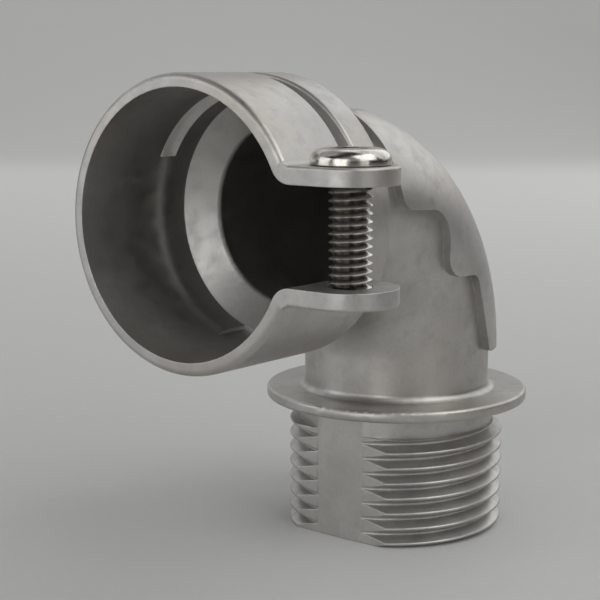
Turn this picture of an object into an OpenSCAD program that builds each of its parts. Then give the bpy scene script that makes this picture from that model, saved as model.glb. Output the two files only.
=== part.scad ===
// Right-angle squeeze connector for flexible metal conduit, trade size 3/4.
// A zinc casting: a clamp collar with a split strap, a bend with a raised back,
// a round flange and a threaded nipple with two flats, closed by one clamp screw.
// The origin is the middle of the flange's seating face. The nipple points down
// along -Z, the collar's mouth opens along -Y and the ears stand out along +X.

/* [Part] */
// The piece to show

/* [Collar] */
// Height of the collar's axis above the flange's seating face
collar_height = 24.1; // [23:0.1:27]
// Distance from the nipple's axis to the collar's mouth
mouth_reach = 39; // [37.5:0.1:43]
// Inner radius of the clamp collar
collar_bore_r = 14; // [13.7:0.05:14.3]
// Wall of the clamp collar
collar_wall = 1.45; // [1.3:0.05:1.7]
// Rounding of the mouth's outer edge
mouth_round = 0.7; // [0.2:0.05:1]
// Length of the clamp bore behind the mouth, before the seat's draft begins
bore_length = 8; // [6:0.5:9]
// Inner radius where the drafted seat meets the step
step_front_r = 13.75; // [13.6:0.05:13.9]
// Inner radius behind the step
step_back_r = 13.45; // [13.3:0.05:13.6]
// Inner radius where the ring meets the stop
stop_edge_r = 13.4; // [13:0.05:13.6]
// Distance from the nipple's axis to the foot of the stop
stop_reach = 23.7; // [23.4:0.1:24.2]
// Length of the bell-shaped stop along the collar
stop_length = 2.5; // [2:0.1:3]
// Distance from the nipple's axis to the collar's back rim
rim_reach = 23.5; // [23:0.1:24]
// Length along the collar of the shoulder behind the back rim
shoulder_length = 3.4; // [3:0.1:4]
// How far the shoulder starts inside the back rim's edge
shoulder_inset = 0.4; // [0.2:0.05:0.6]
// Half width of the shallow notch in the ring's floor
notch_half = 4.2; // [3:0.1:5]

/* [Strap slot] */
// Distance from the nipple's axis to the slot's front edge on the outside
slot_front_reach = 29.35; // [29:0.05:30]
// Distance from the nipple's axis to the slot's front edge on the inside
slot_inner_reach = 28.45; // [28:0.05:29]
// Distance from the nipple's axis to the slot's back edge on the inside
slot_back_reach = 26.6; // [26.2:0.05:27]
// Rounding of the ring's front edge behind the slot
ring_round = 1.75; // [1:0.05:1.8]
// Height above the collar's axis of the slot's level end, on the side away from the ears
slot_end_z = 6.1; // [0:0.1:10]

/* [Clamp ears] */
// Distance from the collar's axis to the screw's axis
ear_reach = 18.3; // [18:0.1:21]
// Thickness of one ear
ear_thick = 1.8; // [1.5:0.1:2.4]
// Gap between the ears
ear_gap = 9.9; // [8:0.1:11]
// Inner radius where the strap turns into the ear
ear_bend_r = 2.3; // [1.5:0.1:2.6]
// Rounding of the edges of the ears' outer faces
ear_edge_round = 0.3; // [0.1:0.05:0.5]
// Fillet in the corner between the strap and an ear's outer face
ear_fillet = 0.7; // [0.3:0.05:1]

/* [Bend] */
// Radius of the bend's centre line
bend_r = 17.86; // [17:0.05:18.5]
// Outer radius of the bend's wall and of the neck
tube_r = 11.3; // [11.1:0.05:11.5]
// Inner radius of the throat, the bend and the nipple
throat_r = 10.1; // [9.6:0.05:10.2]
// Rounding of the throat's lip
lip_round = 0.8; // [0.4:0.1:1.2]

/* [Raised back] */
// Height of the raised back above the bend's wall
back_proud = 1; // [0.6:0.05:1.4]
// Front edge of the raised back, behind the collar's rim
back_front_reach = 16.7; // [15.5:0.1:17.3]
// Height of the first step's middle above the collar's axis
back_step1_z = 0.45; // [-1:0.05:2]
// Lean of the first step, up at its front and down at its back
back_step1_lean = 0.4; // [0:0.05:0.6]
// Distance of the second edge from the nipple's axis
back_edge2_reach = 7.1; // [6:0.1:9]
// Drop of the second step below the collar's axis
back_step2_drop = 7.85; // [7:0.05:9]
// Distance of the last edge's upper end from the nipple's axis
back_edge3_reach = 0.9; // [0:0.1:2]
// Slope of the last edge, sideways for each millimetre down
back_edge3_slope = 0.31; // [0.2:0.01:0.4]
// Rounding of the edge's five corners, from the front end to the foot
back_round1 = 1.9; // [1:0.1:2.2]
back_round2 = 3.4; // [1:0.1:3.8]
back_round3 = 2.8; // [1:0.1:3]
back_round4 = 1.8; // [1:0.1:2]
back_round5 = 1.1; // [0.5:0.1:1.5]
// Height of the raised back's lower end above the seating face
back_foot_z = 6.45; // [6.3:0.05:8]

/* [Flange and neck] */
// Radius of the flange
flange_r = 16; // [15:0.1:18]
// Thickness of the flange
flange_thick = 1.35; // [1.2:0.05:2]
// Rounding of the flange's edges
flange_round = 0.4; // [0.1:0.05:0.5]
// Fillet between the neck and the flange
neck_fillet = 0.9; // [0.3:0.1:1.5]

/* [Nipple] */
// Length of the nipple below the seating face
nipple_length = 15.7; // [14:0.1:17]
// Radius over the thread's crests
thread_major_r = 13.15; // [13.05:0.01:13.25]
// Depth of the thread
thread_depth = 1.3; // [1.1:0.05:1.4]
// Pitch of the thread, fourteen to the inch
thread_pitch = 1.814; // [1.75:0.001:1.85]
// Width of the thread's flat crest
crest_flat = 0.2; // [0.1:0.02:0.3]
// Width of the thread's flat root
root_flat = 0.22; // [0.1:0.02:0.3]
// Angle at which the crest meets the nipple's end, in degrees
thread_start = 207; // [0:1:360]
// Length of the plain relief between the flange and the thread
relief_length = 2.75; // [2:0.05:4]
// Distance from the nipple's axis to each of the two flats
flat_reach = 11.35; // [11:0.05:11.8]

/* [Clamp screw] */
// Radius over the screw's thread, a number 8 machine screw
screw_r = 2.15; // [2:0.05:2.2]
// Radius of the screw's head
screw_head_r = 3.95; // [3.7:0.05:4.1]
// Height of the screw's head
screw_head_h = 1.6; // [1.4:0.05:2.4]
// Rounding of the head's upper edge
screw_head_round = 1.15; // [0.5:0.05:1.3]
// Width of the slot in the head
drive_slot_w = 1.1; // [0.8:0.05:1.3]
// Depth of the slot in the head
drive_slot_h = 0.8; // [0.5:0.05:0.9]
// Clearance round the screw in the lower ear's tapped hole
tapped_clearance = 0.08; // [0.05:0.01:0.12]
// Clearance round the screw in the upper ear's plain hole
plain_clearance = 0.3; // [0.2:0.05:0.5]
// Clearance between the screw's head and the ear
head_clearance = 0.05; // [0.02:0.01:0.1]
// How far the screw's end stays inside the lower ear
end_recess = 0.1; // [0:0.05:0.5]

/* [Hidden] */
$fn = 96;
eps = 0.01;
// Facets in each turn of the thread, its depth into the core and its extra turns
thread_facets = 48;
thread_sunk = 0.15;
thread_overrun = 0.6;
// Facets of each rounded corner in the raised back's outline and the throat's lip
corner_facets = 6;
collar_outer_r = collar_bore_r + collar_wall;
back_r = tube_r + back_proud;
thread_root_r = thread_major_r - thread_depth;
ear_in = ear_gap / 2;
ear_out = ear_in + ear_thick;
ear_mid_reach = (mouth_reach + slot_front_reach) / 2;
ear_r = (mouth_reach - slot_front_reach) / 2;
screw_head_z = ear_out + head_clearance;
casting_colour = [0.72, 0.71, 0.69];
steel_colour = [0.78, 0.78, 0.78];

// Points of an arc that rounds the corner b between the directions to a and c.
function unit(v) = v / norm(v);
function corner(a, b, c, r, n) =
    let (
        u = unit(a - b),
        w = unit(c - b),
        half = acos(u * w) / 2,
        m = b + unit(u + w) * r / sin(half),
        p = b + u * r / tan(half),
        q = b + w * r / tan(half),
        start = atan2(p[1] - m[1], p[0] - m[0]),
        stop = atan2(q[1] - m[1], q[0] - m[0]),
        sweep = (stop - start + 540) % 360 - 180
    )
    [for (i = [0:n]) m + r * [cos(start + sweep * i / n), sin(start + sweep * i / n)]];

// Turns a profile of [radius, reach] about the collar's axis.
module collar_revolve(angle = 360) {
    translate([0, 0, collar_height])
    rotate([90, 0, 0])
    rotate_extrude(angle = angle)
    children();
}

// Draws a shape given in the collar's cross plane, seen from the mouth.
module across_collar(from, to) {
    translate([0, -from, collar_height])
    rotate([90, 0, 0])
    linear_extrude(height = to - from)
    children();
}

// The quarter turn of the bend, as a solid of radius r about its centre line.
module quarter_bend(r) {
    translate([0, -bend_r, collar_height - bend_r])
    rotate([90, 0, 90])
    rotate_extrude(angle = 90)
    translate([bend_r, 0])
    circle(r);
}

// The bend with straight ends, out to a reach along the collar and down to a foot.
module bent_rod(r, reach, foot) {
    quarter_bend(r);
    translate([0, -bend_r, collar_height])
    rotate([90, 0, 0])
    cylinder(r = r, h = reach - bend_r);
    translate([0, 0, foot])
    cylinder(r = r, h = collar_height - bend_r - foot);
}

// The collar's outer shape: straight walls, a rounded mouth and a sloped shoulder.
module collar_outside() {
    collar_revolve()
    difference() {
        union() {
            translate([0, rim_reach])
            square([collar_outer_r, mouth_reach - rim_reach]);
            polygon([
                [0, rim_reach - shoulder_length],
                [tube_r, rim_reach - shoulder_length],
                [collar_outer_r - shoulder_inset, rim_reach + eps],
                [0, rim_reach + eps]
            ]);
        }
        translate([collar_outer_r - mouth_round, mouth_reach - mouth_round])
        difference() {
            square([2 * mouth_round, 2 * mouth_round]);
            circle(mouth_round);
        }
    }
}

// The collar's inside: clamp bore, drafted seat, step, bell-shaped stop and lip.
module collar_inside() {
    seat = mouth_reach - bore_length;
    edge = [stop_edge_r, stop_reach];
    lip = [throat_r, stop_reach - stop_length];
    throat = [throat_r, bend_r];
    collar_revolve()
    union() {
        translate([0, seat])
        square([collar_bore_r, bore_length + 1]);
        polygon(concat(
            [
                [0, bend_r],
                throat
            ],
            corner(throat, lip, edge, lip_round, corner_facets),
            [
                edge,
                [step_back_r, slot_back_reach],
                [step_front_r, slot_inner_reach],
                [collar_bore_r, seat],
                [0, seat]
            ]
        ));
    }
    intersection() {
        collar_revolve()
        translate([0, stop_reach])
        square([step_front_r, slot_inner_reach - stop_reach]);
        translate([-notch_half, -mouth_reach, 0])
        cube([2 * notch_half, mouth_reach, collar_height]);
    }
}

// The curved slot that frees the strap from the ring, from the ears over the top.
module strap_slot() {
    far = 2 * collar_outer_r;
    round_mid = [collar_outer_r - ring_round, slot_back_reach - ring_round];
    intersection() {
        collar_revolve()
        difference() {
            polygon([
                [throat_r, slot_back_reach],
                [round_mid[0], slot_back_reach],
                round_mid,
                [far, round_mid[1]],
                [far, slot_front_reach],
                [collar_outer_r, slot_front_reach],
                [step_front_r, slot_inner_reach],
                [throat_r, slot_inner_reach]
            ]);
            translate(round_mid)
            circle(ring_round);
        }
        across_collar(rim_reach, mouth_reach)
        polygon([
            [0, -ear_in],
            [far, -ear_in],
            [far, far],
            [-far, far],
            [-far, slot_end_z],
            [0, slot_end_z]
        ]);
    }
}

// The gap in the strap between the ears, with its rounded inner corners.
module ear_gap_cut() {
    b = collar_bore_r;
    t = ear_bend_r;
    z = ear_in + t;
    x = sqrt((b + t) * (b + t) - z * z);
    k = b / (b + t);
    across_collar(slot_back_reach, mouth_reach + 1)
    difference() {
        union() {
            translate([0, -ear_in])
            square([2 * ear_reach, ear_gap]);
            for (side = [-1, 1])
            polygon([
                [0, 0],
                [x * k, side * z * k],
                [x, side * z],
                [x, 0]
            ]);
        }
        for (side = [-1, 1])
        translate([x, side * z])
        circle(t);
    }
}

// Half of an ear's section, with a rounded edge on the outer face.
module ear_half(wide) {
    r = ear_edge_round;
    square([wide, ear_thick - r]);
    square([wide - r, ear_thick]);
    intersection() {
        translate([wide - r, ear_thick - r])
        circle(r);
        square([wide, ear_thick]);
    }
}

// One ear: a level tongue with a round end about the screw's axis.
module ear(side) {
    root = sqrt(collar_bore_r * collar_bore_r - ear_out * ear_out) + 0.5;
    translate([0, -ear_mid_reach, collar_height])
    mirror([0, 0, side > 0 ? 0 : 1])
    translate([0, 0, ear_in]) {
        translate([ear_reach, 0, 0])
        rotate_extrude()
        ear_half(ear_r);
        translate([root, 0, 0])
        rotate([90, 0, 90])
        linear_extrude(height = ear_reach - root)
        union() {
            ear_half(ear_r);
            mirror([1, 0])
            ear_half(ear_r);
        }
    }
}

// The fillet in the corner between the strap and the ear's outer face.
module strap_fillet(side) {
    r = ear_fillet;
    z = ear_out + r;
    x = sqrt((collar_outer_r + r) * (collar_outer_r + r) - z * z);
    k = collar_outer_r / (collar_outer_r + r);
    sunk = collar_wall / 3;
    across_collar(slot_front_reach, mouth_reach)
    mirror([0, side > 0 ? 0 : 1])
    difference() {
        polygon([
            [x * k - sunk, z * k - sunk],
            [x * k, z * k],
            [x, z],
            [x, ear_out - sunk]
        ]);
        translate([x, z])
        circle(r);
    }
}

// The side outline of the raised back, in the plane of both axes.
module back_outline() {
    far = collar_height + tube_r;
    top = collar_height + back_step1_z;
    mid = collar_height - back_step2_drop;
    a = [-back_front_reach, far];
    b = [-back_front_reach + back_step1_lean, top + back_step1_lean];
    c = [-back_edge2_reach, top - back_step1_lean];
    d = [-back_edge2_reach, mid];
    e = [-back_edge3_reach, mid];
    f = [-back_edge3_reach + back_edge3_slope * (mid - back_foot_z), back_foot_z];
    g = [far, back_foot_z];
    polygon(concat(
        [a],
        corner(a, b, c, back_round1, corner_facets),
        corner(b, c, d, back_round2, corner_facets),
        corner(c, d, e, back_round3, corner_facets),
        corner(d, e, f, back_round4, corner_facets),
        corner(e, f, g, back_round5, corner_facets),
        [
            g,
            [far, far]
        ]
    ));
}

// The raised back of the bend, with its stepped side edges.
module raised_back() {
    intersection() {
        quarter_bend(back_r);
        translate([-collar_outer_r, 0, 0])
        rotate([90, 0, 90])
        linear_extrude(height = 2 * collar_outer_r)
        back_outline();
    }
}

// The flange with rounded edges, and the fillet up to the neck.
module flange() {
    rotate_extrude()
    union() {
        square([flange_r - flange_round, flange_thick]);
        translate([0, flange_round])
        square([flange_r, flange_thick - 2 * flange_round]);
        for (z = [flange_round, flange_thick - flange_round])
        translate([flange_r - flange_round, z])
        circle(flange_round);
        translate([0, flange_thick - eps])
        difference() {
            square([tube_r + neck_fillet, neck_fillet + eps]);
            translate([tube_r + neck_fillet, neck_fillet + eps])
            circle(neck_fillet);
        }
    }
}

// The thread's ridge: a trapezoid carried round the nipple on a right-hand helix.
module thread_ridge() {
    n = thread_facets;
    base = (thread_pitch - root_flat) / 2;
    tip = crest_flat / 2;
    sunk = thread_sunk;
    foot = base + sunk * (base - tip) / thread_depth;
    ring = [
        [thread_root_r - sunk, -foot],
        [thread_major_r, -tip],
        [thread_major_r, tip],
        [thread_root_r - sunk, foot]
    ];
    m = len(ring);
    first = -floor(n * thread_overrun);
    last = ceil(n * ((nipple_length - relief_length) / thread_pitch + thread_overrun));
    count = last - first;
    pts = [
        for (i = [first:last], q = ring)
        let (t = thread_start + 360 * i / n)
        [q[0] * cos(t), q[0] * sin(t), q[1] + thread_pitch * i / n - nipple_length]
    ];
    side = [
        for (i = [0:count - 1], j = [0:m - 1])
        let (
            a = i * m + j,
            b = i * m + (j + 1) % m,
            c = (i + 1) * m + j,
            d = (i + 1) * m + (j + 1) % m
        )
        each [[a, b, d], [a, d, c]]
    ];
    near = [for (j = [1:m - 2]) [0, j + 1, j]];
    far = [for (j = [1:m - 2]) [count * m, count * m + j, count * m + j + 1]];
    polyhedron(points = pts, faces = concat(side, near, far), convexity = 10);
}

// The nipple: a root cylinder with the thread on it, cut by two flats.
module nipple() {
    far = flange_r;
    intersection() {
        union() {
            translate([0, 0, -nipple_length])
            cylinder(r = thread_root_r, h = nipple_length + eps);
            intersection() {
                thread_ridge();
                translate([-far, -far, -nipple_length])
                cube([2 * far, 2 * far, nipple_length - relief_length]);
            }
        }
        translate([-far, -flat_reach, -nipple_length - 1])
        cube([2 * far, 2 * flat_reach, nipple_length + 2]);
    }
}

// Sub-part: the casting.
module body() {
    color(casting_colour)
    difference() {
        union() {
            difference() {
                union() {
                    collar_outside();
                    for (s = [-1, 1]) {
                        ear(s);
                        strap_fillet(s);
                    }
                }
                strap_slot();
                ear_gap_cut();
            }
            bent_rod(tube_r, rim_reach, 0);
            raised_back();
            flange();
            nipple();
        }
        collar_inside();
        bent_rod(throat_r, stop_reach - stop_length + 1, -nipple_length - 1);
        translate([ear_reach, -ear_mid_reach, collar_height]) {
            cylinder(r = screw_r + plain_clearance, h = 2 * ear_out);
            mirror([0, 0, 1])
            cylinder(r = screw_r + tapped_clearance, h = 2 * ear_out);
        }
    }
}

// Sub-part: the clamp screw, a pan head with a straight slot on a plain shank.
module clamp_screw() {
    length = screw_head_z + ear_out - end_recess;
    color(steel_colour)
    translate([ear_reach, -ear_mid_reach, collar_height + screw_head_z])
    difference() {
        rotate_extrude()
        union() {
            square([screw_head_r - screw_head_round, screw_head_h]);
            square([screw_head_r, screw_head_h - screw_head_round]);
            intersection() {
                translate([screw_head_r - screw_head_round, screw_head_h - screw_head_round])
                circle(screw_head_round);
                square([screw_head_r, screw_head_h]);
            }
            translate([0, -length])
            square([screw_r, length + eps]);
        }
        translate([-screw_head_r - 1, -drive_slot_w / 2, screw_head_h - drive_slot_h])
        cube([2 * screw_head_r + 2, drive_slot_w, drive_slot_h + 1]);
    }
}

body();
clamp_screw();
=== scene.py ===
"""A right-angle squeeze connector for flexible metal conduit: a satin zinc casting and its clamp screw."""
from collections import namedtuple
from math import atan2, cos, pi, radians, sin, tan

import bmesh
import bpy
import numpy as np
from mathutils import Matrix, Vector


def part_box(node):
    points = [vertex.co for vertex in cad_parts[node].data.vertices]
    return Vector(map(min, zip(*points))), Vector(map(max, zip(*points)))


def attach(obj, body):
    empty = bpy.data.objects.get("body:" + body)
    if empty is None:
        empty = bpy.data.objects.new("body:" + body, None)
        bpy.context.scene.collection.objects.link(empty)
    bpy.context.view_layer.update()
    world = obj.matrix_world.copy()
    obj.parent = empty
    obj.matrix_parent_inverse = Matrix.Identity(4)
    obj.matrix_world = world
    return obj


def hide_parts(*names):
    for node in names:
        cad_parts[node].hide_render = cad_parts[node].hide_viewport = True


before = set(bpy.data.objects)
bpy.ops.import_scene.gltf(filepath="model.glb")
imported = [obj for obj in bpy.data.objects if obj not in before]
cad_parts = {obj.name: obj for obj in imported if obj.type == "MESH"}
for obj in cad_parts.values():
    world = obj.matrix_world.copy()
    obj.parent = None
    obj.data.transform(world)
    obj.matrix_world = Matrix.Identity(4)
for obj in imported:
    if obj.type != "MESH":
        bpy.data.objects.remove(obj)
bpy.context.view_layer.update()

MM = 0.001
SHARP = radians(33)

Thread = namedtuple("Thread", "pitch root_r major_r crest root start")

# How close points are merged, in metres.
MERGE = 0.001 * MM
THREAD_MERGE = 0.002 * MM

# The nipple, in metres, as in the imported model, but for the two halves of each flat.
NIPPLE_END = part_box("body")[0].z
NIPPLE_BORE_R = 10.1 * MM
NIPPLE_RELIEF = -2.75 * MM
NIPPLE_THREAD = Thread(1.814 * MM, 11.85 * MM, 13.15 * MM, 0.2 * MM, 0.22 * MM, radians(207))
FLAT_RIDGE = 11.5 * MM
FLAT_DRAFT = radians(1.5)
SEAT_CUT = -0.02 * MM

# The collar, in metres. The solid has a quarter-round edge on the ring behind the slot, and a shallow step.
COLLAR_Z = 24.1 * MM
COLLAR_R = 15.45 * MM
SLOT_END_Z = 6.1 * MM
EAR_IN = 4.95 * MM
EDGE_R = 1.75 * MM
EDGE_MID = (13.7 * MM, 24.85 * MM)
RING_INNER = (13.45 * MM, 26.6 * MM)
RING_EDGE = (15.45 * MM, 27.35 * MM)
RING_ROUND = 0.4 * MM
ARC_TURNS = (radians(13.5), radians(60.1))
STEP_FRONT = (13.75 * MM, 28.45 * MM)
STEP_FRONT_R = 13.88 * MM
STEP_BACK_R = 13.38 * MM

# The clamp screw, in metres: its axis, its head and its thread.
SCREW_LOW, SCREW_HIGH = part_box("clamp_screw")
SCREW_AXIS = ((SCREW_LOW.x + SCREW_HIGH.x) / 2, (SCREW_LOW.y + SCREW_HIGH.y) / 2)
HEAD_R = (SCREW_HIGH.x - SCREW_LOW.x) / 2
HEAD_H = 1.6 * MM
HEAD_BRIM = 0.35 * MM
HEAD_SHOULDER = 1.35 * MM
RECESS_R = 2.1 * MM
RECESS_FLOOR_R = 1.0 * MM
RECESS_W = 0.85 * MM
RECESS_DEPTH = 1.2 * MM
SCREW_THREAD = Thread(0.794 * MM, 1.6 * MM, 2.18 * MM, 0.05 * MM, 0.05 * MM, 0.0)

# The camera of the photograph: where it stands, which way it looks and how far it zooms.
CAMERA_PLACE = Vector((100.70, -144.33, 39.78)) * MM
CAMERA_TURN = radians(38.797)
CAMERA_TILT = radians(9.07)
CAMERA_ROLL = radians(0.103)
CAMERA_LENS = 86.53

# Colours, as linear values.
ZINC_LIGHT = (0.53, 0.52, 0.50, 1)
ZINC_GREY = (0.46, 0.455, 0.44, 1)
ZINC_TAN = (0.48, 0.45, 0.41, 1)
ZINC_SMUDGE = (0.36, 0.355, 0.345, 1)
STEEL_LIGHT = (0.64, 0.62, 0.58, 1)
STEEL_DARK = (0.46, 0.44, 0.40, 1)
# Painted shade: near-black laid into the screw's thread towards its root.
STEEL_ROOT_SHADE = (0.12, 0.115, 0.11, 1)
PAPER = (0.60, 0.60, 0.59, 1)
PAPER_FIBRE = (0.57, 0.57, 0.56, 1)
PAPER_GLOW = 0.45

# Lamps: name, degrees round from the camera, degrees up, side in metres and watts.
LAMPS = (
    ("front_left", -30, 15, 0.4, 1.05),
    ("left", -80, 15, 0.4, 0.67),
    ("back_left", -130, 45, 0.8, 0.76),
    ("back_right", 130, 45, 0.8, 1.79),
    ("front_right", 50, 45, 0.5, 1.5),
    ("front_high", 0, 35, 0.4, 0.13),
    ("right_low", 35, 10, 0.25, 0.19),
)
LAMP_REACH = 0.6
MIDDLE = Vector((0.0, -0.012, 0.012))
SKY_GREY = 0.8
SKY_STRENGTH = 0.01


def link(obj):
    """Puts an object into the scene."""
    bpy.context.scene.collection.objects.link(obj)
    return obj


def mesh_object(name, points, faces):
    """Makes an object of points (n, 3) and faces (m, 4) or (m, 3)."""
    mesh = bpy.data.meshes.new(name)
    mesh.from_pydata(points.tolist(), [], faces.tolist())
    mesh.update()
    return link(bpy.data.objects.new(name, mesh))


def grid_faces(rows, columns, ring=False):
    """Four-cornered faces of a grid of points, row by row; a ring joins the last row to the first."""
    i, j = np.meshgrid(np.arange(rows if ring else rows - 1), np.arange(columns - 1), indexing="ij")
    low = i * columns + j
    high = (i + 1) % rows * columns + j
    return np.stack([low, low + 1, high + 1, high], axis=-1).reshape(-1, 4)


def tidy_mesh(obj, merge, sharp=SHARP):
    """Merges points closer than merge, turns faces outwards and marks edges over the angle sharp."""
    bm = bmesh.new()
    bm.from_mesh(obj.data)
    bmesh.ops.remove_doubles(bm, verts=bm.verts, dist=merge)
    bmesh.ops.dissolve_degenerate(bm, edges=bm.edges, dist=merge)
    bmesh.ops.recalc_face_normals(bm, faces=bm.faces)
    for face in bm.faces:
        face.smooth = True
    for edge in bm.edges:
        edge.smooth = len(edge.link_faces) == 2 and edge.calc_face_angle(0) < sharp
    bm.to_mesh(obj.data)
    bm.free()
    obj.data.update()


def cut_flat(obj, place, normal):
    """Cuts a closed mesh with a plane, drops the part that the normal points to and closes the cut."""
    bm = bmesh.new()
    bm.from_mesh(obj.data)
    bmesh.ops.remove_doubles(bm, verts=bm.verts, dist=1e-7)
    cut = bmesh.ops.bisect_plane(
        bm,
        geom=bm.verts[:] + bm.edges[:] + bm.faces[:],
        plane_co=place,
        plane_no=normal,
        clear_outer=True,
        dist=1e-8,
    )
    rim = [e for e in cut["geom_cut"] if isinstance(e, bmesh.types.BMEdge)]
    bmesh.ops.triangle_fill(bm, edges=rim, use_beauty=True, normal=normal)
    bm.to_mesh(obj.data)
    bm.free()
    obj.data.update()


def cut_away(obj, tool):
    """Takes one closed mesh out of another and removes the tool."""
    modifier = obj.modifiers.new("cut", "BOOLEAN")
    modifier.operation = "DIFFERENCE"
    modifier.solver = "EXACT"
    modifier.object = tool
    bpy.context.view_layer.update()
    graph = bpy.context.evaluated_depsgraph_get()
    cut = bpy.data.meshes.new_from_object(obj.evaluated_get(graph))
    obj.modifiers.clear()
    obj.data = cut
    bpy.data.objects.remove(tool)


def mark_ridges(obj, reach):
    """Keeps the ridge in the middle of each flat sharp, at x = 0 and the given distance along y."""
    bm = bmesh.new()
    bm.from_mesh(obj.data)
    near = 0.01 * MM
    for edge in bm.edges:
        if all(abs(v.co.x) < near and abs(abs(v.co.y) - reach) < near for v in edge.verts):
            edge.smooth = False
    bm.to_mesh(obj.data)
    bm.free()


def weighted(obj):
    """Lets large faces set the shading, so that flats stay flat beside small rounded edges."""
    modifier = obj.modifiers.new("weighted", "WEIGHTED_NORMAL")
    modifier.keep_sharp = True
    modifier.weight = 60


def copy_of(node, name):
    """A new object with a copy of a node's mesh."""
    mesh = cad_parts[node].data.copy()
    mesh.name = name
    mesh.materials.clear()
    return link(bpy.data.objects.new(name, mesh))


def turned(name, axis, profile, faces):
    """A profile of (radius, height) points carried once round an upright axis.

    A point of the profile goes to axis + radius * (cos t, sin t) at its height, for t from 0 to a full
    turn, and the first and last points lie on the axis.
    """
    turn = np.linspace(0, 2 * pi, faces + 1)[None, :]
    r = profile[:, 0][:, None]
    z = profile[:, 1][:, None] + 0 * turn
    points = np.stack([axis[0] + r * np.cos(turn), axis[1] + r * np.sin(turn), z], axis=-1)
    return mesh_object(name, points.reshape(-1, 3), grid_faces(len(profile), faces + 1))


def thread_radius(phase, thread):
    """Radius of a thread at a phase of 0 to 1 from crest to crest: flat crest, straight flanks, flat root."""
    away = np.abs(phase - np.round(phase)) * thread.pitch
    start = thread.crest / 2
    stop = (thread.pitch - thread.root) / 2
    down = np.clip((away - start) / (stop - start), 0, 1)
    return thread.major_r + (thread.root_r - thread.major_r) * down


def threaded_rod(name, axis, low, high, thread, turn_faces, rows, neck=0, bore_r=0):
    """A right-hand threaded rod or tube, closed at both ends, with a plain neck above the thread.

    The outside is a grid of turn and row. A row follows the helix, so its height is pitch times its row
    number plus pitch times the turn, held between the two ends, and its radius is the thread's at that
    height. The neck has the root's radius. The ends run straight in to the bore, or to the axis.
    """
    columns = turn_faces + 1
    turn = np.linspace(0, 2 * pi, columns)[None, :]
    count = int(np.ceil(((high - low) / thread.pitch + 1) * rows)) + 1
    row = np.arange(count)[:, None]
    z = low - thread.pitch + thread.pitch * row / rows + thread.pitch * turn / (2 * pi)
    z = np.clip(z, low, high)
    phase = (z - low) / thread.pitch - (turn - thread.start) / (2 * pi)
    r = thread_radius(phase, thread)
    ends = [(bore_r, high + neck)]
    if neck > 0:
        ends = [(thread.root_r, high), (thread.root_r, high + neck)] + ends
    r = np.vstack([np.full((1, columns), bore_r), r] + [np.full((1, columns), end[0]) for end in ends])
    z = np.vstack([np.full((1, columns), low), z] + [np.full((1, columns), end[1]) for end in ends])
    points = np.stack([axis[0] + r * np.cos(turn), axis[1] + r * np.sin(turn), z], axis=-1)
    return mesh_object(name, points.reshape(-1, 3), grid_faces(len(r), columns, ring=bore_r > 0))


def node(tree, kind, **values):
    """Adds a shader node and sets its plain properties."""
    made = tree.nodes.new(kind)
    for key, value in values.items():
        setattr(made, key, value)
    return made


def noise(tree, coordinates, scale, detail, roughness):
    """A noise pattern on the object's own coordinates, with its scale in features a metre."""
    made = node(tree, "ShaderNodeTexNoise")
    made.inputs["Scale"].default_value = scale
    made.inputs["Detail"].default_value = detail
    made.inputs["Roughness"].default_value = roughness
    tree.links.new(coordinates, made.inputs["Vector"])
    return made.outputs["Fac"]


def spread(tree, value, from_low, from_high, to_low, to_high):
    """Maps a value's range to another range, held at its ends."""
    made = node(tree, "ShaderNodeMapRange")
    made.inputs["From Min"].default_value = from_low
    made.inputs["From Max"].default_value = from_high
    made.inputs["To Min"].default_value = to_low
    made.inputs["To Max"].default_value = to_high
    tree.links.new(value, made.inputs["Value"])
    return made.outputs["Result"]


def mixed(tree, amount, first, second):
    """Mixes two colours, each a socket or a plain value, by an amount."""
    made = node(tree, "ShaderNodeMix", data_type="RGBA", blend_type="MIX")
    for socket, value in ((made.inputs[0], amount), (made.inputs[6], first), (made.inputs[7], second)):
        if isinstance(value, bpy.types.NodeSocket):
            tree.links.new(value, socket)
        else:
            socket.default_value = value
    return made.outputs[2]


def bumped(tree, height, distance, strength, normal):
    """Bumps a normal by a height pattern, with the distance in metres."""
    made = node(tree, "ShaderNodeBump")
    made.inputs["Distance"].default_value = distance
    made.inputs["Strength"].default_value = strength
    tree.links.new(height, made.inputs["Height"])
    tree.links.new(normal, made.inputs["Normal"])
    return made.outputs["Normal"]


def new_material(name):
    """An empty material with its shader and the object's own coordinates."""
    material = bpy.data.materials.new(name)
    material.use_nodes = True
    tree = material.node_tree
    shader = tree.nodes["Principled BSDF"]
    place = node(tree, "ShaderNodeTexCoord").outputs["Object"]
    return material, tree, shader, place


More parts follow.
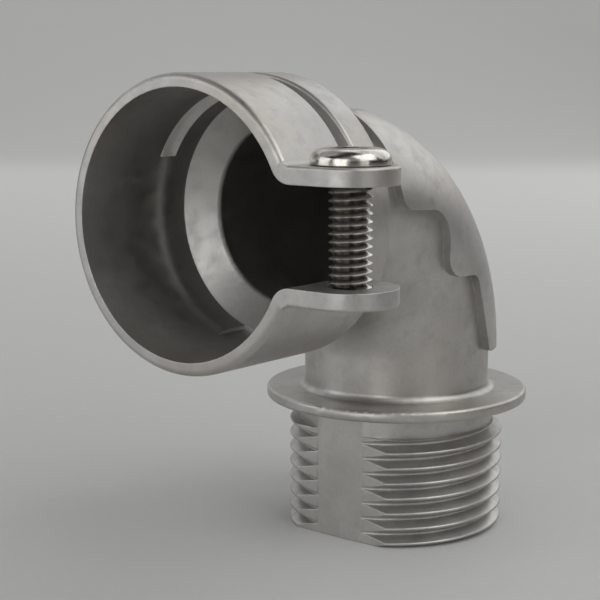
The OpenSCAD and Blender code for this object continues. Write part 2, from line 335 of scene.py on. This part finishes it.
def cast_zinc(edge_round):
    """Satin cast zinc: faint clouds of grey and tan, a fine grain, small pits and softly rounded edges."""
    material, tree, shader, place = new_material("cast_zinc")
    clouds = noise(tree, place, 160, 4, 0.55)
    stains = noise(tree, place, 85, 3, 0.5)
    smudges = noise(tree, place, 520, 4, 0.6)
    speckle = noise(tree, place, 2600, 3, 0.6)
    grain = noise(tree, place, 6200, 3, 0.6)
    ripple = noise(tree, place, 900, 3, 0.5)
    colour = mixed(tree, spread(tree, clouds, 0.38, 0.62, 0, 1), ZINC_LIGHT, ZINC_GREY)
    colour = mixed(tree, spread(tree, stains, 0.46, 0.66, 0, 0.7), colour, ZINC_TAN)
    colour = mixed(tree, spread(tree, smudges, 0.5, 0.72, 0, 0.45), colour, ZINC_SMUDGE)
    colour = mixed(tree, spread(tree, speckle, 0.52, 0.75, 0, 0.35), colour, ZINC_SMUDGE)
    tree.links.new(colour, shader.inputs["Base Color"])
    shader.inputs["Metallic"].default_value = 1.0
    tree.links.new(spread(tree, smudges, 0.3, 0.7, 0.36, 0.48), shader.inputs["Roughness"])
    rounding = node(tree, "ShaderNodeBevel", samples=6)
    rounding.inputs["Radius"].default_value = edge_round
    normal = bumped(tree, ripple, 0.05 * MM, 0.35, rounding.outputs["Normal"])
    normal = bumped(tree, grain, 0.012 * MM, 0.5, normal)
    tree.links.new(normal, shader.inputs["Normal"])
    return material


def plated_steel(edge_round):
    """Bright plated steel with faint rubbed streaks, and painted shade that makes it dark down in the thread.
    """
    material, tree, shader, place = new_material("plated_steel")
    smudges = noise(tree, place, 900, 4, 0.6)
    grain = noise(tree, place, 7000, 3, 0.6)
    colour = mixed(tree, spread(tree, smudges, 0.4, 0.65, 0, 1), STEEL_LIGHT, STEEL_DARK)
    # Painted shade: the colour goes to near-black from the thread's crest radius in to its root radius, and
    # stays near-black nearer the axis.
    from_axis = node(tree, "ShaderNodeMapping")
    from_axis.inputs["Location"].default_value = (-SCREW_AXIS[0], -SCREW_AXIS[1], 0)
    from_axis.inputs["Scale"].default_value = (1, 1, 0)
    tree.links.new(place, from_axis.inputs["Vector"])
    radius = node(tree, "ShaderNodeVectorMath", operation="LENGTH")
    tree.links.new(from_axis.outputs["Vector"], radius.inputs[0])
    depth = spread(tree, radius.outputs["Value"], SCREW_THREAD.root_r, SCREW_THREAD.major_r, 1, 0)
    colour = mixed(tree, depth, colour, STEEL_ROOT_SHADE)
    tree.links.new(colour, shader.inputs["Base Color"])
    shader.inputs["Metallic"].default_value = 1.0
    tree.links.new(spread(tree, smudges, 0.3, 0.7, 0.16, 0.28), shader.inputs["Roughness"])
    rounding = node(tree, "ShaderNodeBevel", samples=6)
    rounding.inputs["Radius"].default_value = edge_round
    normal = bumped(tree, grain, 0.006 * MM, 0.4, rounding.outputs["Normal"])
    tree.links.new(normal, shader.inputs["Normal"])
    return material


def floor_paper():
    """Plain pale paper with a very faint tooth, which shows paler towards the far end."""
    material, tree, shader, place = new_material("floor_paper")
    fibres = noise(tree, place, 900, 3, 0.5)
    tree.links.new(mixed(tree, fibres, PAPER, PAPER_FIBRE), shader.inputs["Base Color"])
    shader.inputs["Roughness"].default_value = 0.85
    behind = node(tree, "ShaderNodeVectorMath", operation="DOT_PRODUCT")
    behind.inputs[1].default_value = (-sin(CAMERA_TURN), cos(CAMERA_TURN), 0)
    tree.links.new(place, behind.inputs[0])
    pale = spread(tree, behind.outputs["Value"], 0.05, 0.6, 0, PAPER_GLOW)
    path = node(tree, "ShaderNodeLightPath")
    seen = node(tree, "ShaderNodeMath", operation="ADD")
    tree.links.new(path.outputs["Is Camera Ray"], seen.inputs[0])
    tree.links.new(path.outputs["Is Glossy Ray"], seen.inputs[1])
    through = node(tree, "ShaderNodeMath", operation="ADD", use_clamp=True)
    tree.links.new(seen.outputs[0], through.inputs[0])
    tree.links.new(path.outputs["Is Transmission Ray"], through.inputs[1])
    glow = node(tree, "ShaderNodeMath", operation="MULTIPLY")
    tree.links.new(through.outputs[0], glow.inputs[0])
    tree.links.new(pale, glow.inputs[1])
    shader.inputs["Emission Color"].default_value = PAPER
    tree.links.new(glow.outputs[0], shader.inputs["Emission Strength"])
    return material


def reshape_collar(obj):
    """Gives the ring behind the slot its true front edge and deepens the step inside the collar.

    Each point of the solid's quarter-round edge has a turn round the edge's middle, from the ring's front
    to its outer wall. By that turn it goes along a front face that leans out towards the mouth, round a
    small arc that touches the face and the wall, and along the wall. Points on the slot's level ends keep
    their height, and all others keep their angle round the collar's axis.
    """
    mesh = obj.data
    points = np.empty(len(mesh.vertices) * 3)
    mesh.vertices.foreach_get("co", points)
    points = points.reshape(-1, 3)
    x = points[:, 0]
    z = points[:, 2] - COLLAR_Z
    radius = np.maximum(np.hypot(x, z), MM)
    reach = -points[:, 1]
    near = 0.03 * MM
    out = radius - EDGE_MID[0]
    front = reach - EDGE_MID[1]
    on_edge = (np.abs(np.hypot(out, front) - EDGE_R) < near) & (out > -near) & (front > -near)
    turn = np.clip(np.arctan2(out, front), 0, pi / 2)
    lean = atan2(RING_EDGE[1] - RING_INNER[1], RING_EDGE[0] - RING_INNER[0])
    arc_reach = RING_EDGE[1] - RING_ROUND / tan((pi / 2 - lean) / 2)
    arc = np.interp(turn, ARC_TURNS, (pi / 2 + lean, 0))
    face = np.clip(turn / ARC_TURNS[0], 0, 1)
    wall = np.clip((turn - ARC_TURNS[1]) / (pi / 2 - ARC_TURNS[1]), 0, 1)
    start_reach = RING_INNER[1] + tan(lean) * (EDGE_MID[0] - RING_INNER[0])
    edge_radius = EDGE_MID[0] + (COLLAR_R - RING_ROUND + RING_ROUND * np.cos(arc) - EDGE_MID[0]) * face
    edge_reach = start_reach + (arc_reach + RING_ROUND * np.sin(arc) - start_reach) * face
    edge_reach = edge_reach + (EDGE_MID[1] - edge_reach) * wall
    new_radius = np.where(on_edge, edge_radius, radius)
    new_reach = np.where(on_edge, edge_reach, reach)
    for (old_radius, old_reach), step_radius in ((STEP_FRONT, STEP_FRONT_R), (RING_INNER, STEP_BACK_R)):
        on_step = (np.abs(radius - old_radius) < near) & (np.abs(reach - old_reach) < near)
        new_radius = np.where(on_step, step_radius, new_radius)
    level = (np.abs(z - SLOT_END_Z) < near) | (np.abs(z + EAR_IN) < near)
    sideways = np.sign(x) * np.sqrt(np.maximum(new_radius ** 2 - z ** 2, 0))
    moved = new_radius != radius
    points[:, 0] = np.where(moved, np.where(level, sideways, x * new_radius / radius), x)
    points[:, 2] = np.where(moved & ~level, COLLAR_Z + z * new_radius / radius, points[:, 2])
    points[:, 1] = -new_reach
    mesh.vertices.foreach_set("co", points.ravel())
    mesh.update()


def finished(obj, body, material, slot, *nodes):
    """Gives a piece its material and its body, and hides the nodes that it stands for."""
    obj.data.materials.clear()
    obj.data.materials.append(material)
    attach(obj, body)
    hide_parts(*nodes)
    return obj


def make_casting(material):
    """The casting above the seat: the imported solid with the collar's ring and step in their true form."""
    obj = copy_of("body", "casting")
    reshape_collar(obj)
    cut_flat(obj, (0, 0, SEAT_CUT), (0, 0, -1))
    tidy_mesh(obj, MERGE)
    weighted(obj)
    finished(obj, "casting", material, "cast_zinc", "body")


def make_nipple(material):
    """The nipple below the seat: a threaded tube with a plain relief, cut by two flats.

    Each flat is two planes that fall away by the draft from a ridge at x = 0.
    """
    obj = threaded_rod(
        "nipple", (0, 0), NIPPLE_END, NIPPLE_RELIEF, NIPPLE_THREAD, turn_faces=288, rows=14,
        neck=SEAT_CUT - NIPPLE_RELIEF, bore_r=NIPPLE_BORE_R,
    )
    for side in (-1, 1):
        for half in (-1, 1):
            normal = (half * sin(FLAT_DRAFT), side * cos(FLAT_DRAFT), 0)
            cut_flat(obj, (0, side * FLAT_RIDGE, 0), normal)
    tidy_mesh(obj, THREAD_MERGE)
    mark_ridges(obj, FLAT_RIDGE)
    weighted(obj)
    finished(obj, "casting", material, "cast_zinc", "body")


def cross_tool(top):
    """A cross-shaped tapered plug for the screw's recess.

    Its outline is twelve points: each arm runs to a half length in one direction and to half the width in
    the other. The half length shrinks from the top of the head down to the recess's floor.
    """
    w = RECESS_W / 2
    lift = 0.2 * MM
    rings = []
    for half, z in ((RECESS_FLOOR_R, top - RECESS_DEPTH), (RECESS_R, top), (RECESS_R, top + lift)):
        corner = np.array([(half, -w), (half, w), (w, w)])
        quarter = [corner @ np.array([(cos(a), sin(a)), (-sin(a), cos(a))]) for a in np.arange(4) * pi / 2]
        ring = np.vstack(quarter)
        rings.append(np.column_stack([ring + SCREW_AXIS, np.full(len(ring), z)]))
    ring_size = len(rings[0])
    closed = [np.vstack([ring, ring[:1]]) for ring in rings]
    sides = grid_faces(len(rings), ring_size + 1).tolist()
    points = np.vstack(closed)
    floor = list(range(ring_size))[::-1]
    roof = [2 * (ring_size + 1) + i for i in range(ring_size)]
    mesh = bpy.data.meshes.new("cross_tool")
    mesh.from_pydata(points.tolist(), [], sides + [floor, roof])
    return link(bpy.data.objects.new("cross_tool", mesh))


def make_screw_head(material):
    """The screw's head: a low round head with a cross recess."""
    low = SCREW_HIGH.z - HEAD_H
    high = SCREW_HIGH.z
    turn = np.linspace(0, pi / 2, 13)
    drop = HEAD_H - HEAD_BRIM
    shoulder_r = HEAD_R - HEAD_SHOULDER + HEAD_SHOULDER * np.cos(turn)
    shoulder_z = low + HEAD_BRIM + drop * np.sin(turn)
    rim = 0.08 * MM
    profile = np.vstack([
        [(0, low), (HEAD_R - rim, low), (HEAD_R, low + rim)],
        np.column_stack([shoulder_r, shoulder_z]),
        [(0, high)],
    ])
    obj = turned("screw_head", SCREW_AXIS, profile, 96)
    tidy_mesh(obj, MERGE)
    tool = cross_tool(high)
    tidy_mesh(tool, MERGE)
    cut_away(obj, tool)
    tidy_mesh(obj, MERGE)
    weighted(obj)
    finished(obj, "screw", material, "plated_steel", "clamp_screw")


def make_screw_thread(material):
    """The screw's shank, with a fine machine thread down to its end in the lower ear."""
    head_z = SCREW_HIGH.z - HEAD_H
    obj = threaded_rod(
        "screw_thread", SCREW_AXIS, SCREW_LOW.z, head_z, SCREW_THREAD, turn_faces=96, rows=12,
    )
    tidy_mesh(obj, MERGE)
    weighted(obj)
    finished(obj, "screw", material, "plated_steel", "clamp_screw")


def make_camera():
    """The camera of the photograph."""
    away = cos(CAMERA_TILT)
    back = Vector((sin(CAMERA_TURN) * away, -cos(CAMERA_TURN) * away, sin(CAMERA_TILT)))
    level = Vector((cos(CAMERA_TURN), sin(CAMERA_TURN), 0))
    rise = back.cross(level)
    right = cos(CAMERA_ROLL) * level + sin(CAMERA_ROLL) * rise
    up = cos(CAMERA_ROLL) * rise - sin(CAMERA_ROLL) * level
    data = bpy.data.cameras.new("camera")
    data.lens = CAMERA_LENS
    data.sensor_width = 36
    data.clip_start = 0.01
    camera = link(bpy.data.objects.new("camera", data))
    turned_axes = Matrix((right, up, back)).transposed().to_4x4()
    camera.matrix_world = Matrix.Translation(CAMERA_PLACE) @ turned_axes
    bpy.context.scene.camera = camera


def soft_light(name, place, aim, size, watts):
    """A square soft light at a place, aimed at a point."""
    data = bpy.data.lights.new(name, "AREA")
    data.shape = "SQUARE"
    data.size = size
    data.energy = watts
    light = link(bpy.data.objects.new(name, data))
    light.location = place
    light.rotation_euler = (aim - place).to_track_quat("-Z", "Y").to_euler()


def make_floor():
    """A pale floor that runs level, bends up behind the part in a quarter circle and stands up."""
    reach = 1.2
    bend = 0.35
    far = 0.75
    across = np.linspace(-1.6, 1.6, 9)
    low = NIPPLE_END - 0.02 * MM
    flat = np.linspace(-reach, far, 12)
    turn = np.linspace(0, pi / 2, 17)[1:]
    along = np.concatenate([flat, far + bend * np.sin(turn), np.full(4, far + bend)])
    height = np.concatenate([np.zeros(12), bend * (1 - np.cos(turn)), bend + np.linspace(0.2, 0.9, 4)])
    u, v = np.meshgrid(across, np.arange(len(along)))
    x = u * cos(CAMERA_TURN) - along[v] * sin(CAMERA_TURN)
    y = u * sin(CAMERA_TURN) + along[v] * cos(CAMERA_TURN)
    points = np.stack([x, y, low + height[v]], axis=-1).reshape(-1, 3)
    floor = mesh_object("floor", points, grid_faces(*u.shape))
    for polygon in floor.data.polygons:
        polygon.use_smooth = True
    floor.data.materials.append(floor_paper())


def make_lights():
    """Soft lamps round the part and a dim, even sky."""
    for name, turn, up, size, watts in LAMPS:
        a = CAMERA_TURN + radians(turn)
        e = radians(up)
        place = MIDDLE + LAMP_REACH * Vector((sin(a) * cos(e), -cos(a) * cos(e), sin(e)))
        soft_light(name, place, MIDDLE, size, watts)
    world = bpy.data.worlds.new("studio")
    world.use_nodes = True
    sky = world.node_tree.nodes["Background"]
    sky.inputs["Color"].default_value = (SKY_GREY, SKY_GREY, SKY_GREY, 1)
    sky.inputs["Strength"].default_value = SKY_STRENGTH
    bpy.context.scene.world = world
    bpy.context.scene.view_settings.view_transform = "Standard"


make_camera()
zinc = cast_zinc(0.14 * MM)
steel = plated_steel(0.04 * MM)
make_casting(zinc)
make_nipple(zinc)
make_screw_head(steel)
make_screw_thread(steel)
make_floor()
make_lights()
